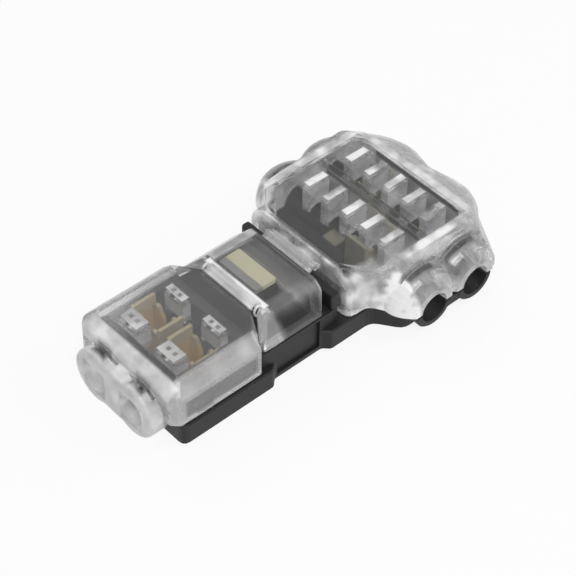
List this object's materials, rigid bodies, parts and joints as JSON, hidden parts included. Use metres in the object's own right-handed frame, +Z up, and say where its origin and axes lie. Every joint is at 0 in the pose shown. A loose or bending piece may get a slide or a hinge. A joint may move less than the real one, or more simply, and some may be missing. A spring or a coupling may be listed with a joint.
{
  "type": "t-tap connector",
  "caption": "Flat T-shaped solderless wire tap: black base under clear flip lids, with slotted blade contacts joining the branch wires to the run wires.",
  "frame": {"origin": "middle of the overall outline, on the plane of the base's flat underside", "axes": "+X along the stem towards the wide head, +Y across it towards the far ends of the run wires, +Z up out of the lids"},
  "size_m": [0.0436, 0.0242, 0.0081],
  "materials": {
    "black_plastic": "fine satin moulded black",
    "clear_plastic": "clear moulded, slightly frosted at the edges",
    "tinned_brass": "stamped strip, tinned at the blades",
    "ivory_plastic": "plain moulded"
  },
  "bodies": {
    "base": {"base_shell": "black_plastic", "bridge_cover": "clear_plastic", "contact_near": "tinned_brass", "contact_far": "tinned_brass", "strip_pad": "ivory_plastic"},
    "branch_lid": {"branch_lid": "clear_plastic"},
    "head_lid": {"head_lid": "clear_plastic"}
  },
  "joints": [
    {"name": "branch_lid_hinge", "type": "hinge", "parent": "base", "child": "branch_lid", "pos_m": [-0.0067, 0, 0.00725], "axis": [0, 1, 0], "range_deg": [0, 105]},
    {"name": "head_lid_hinge", "type": "hinge", "parent": "base", "child": "head_lid", "pos_m": [0.001, 0, 0.00725], "axis": [0, -1, 0], "range_deg": [0, 105]}
  ]
}
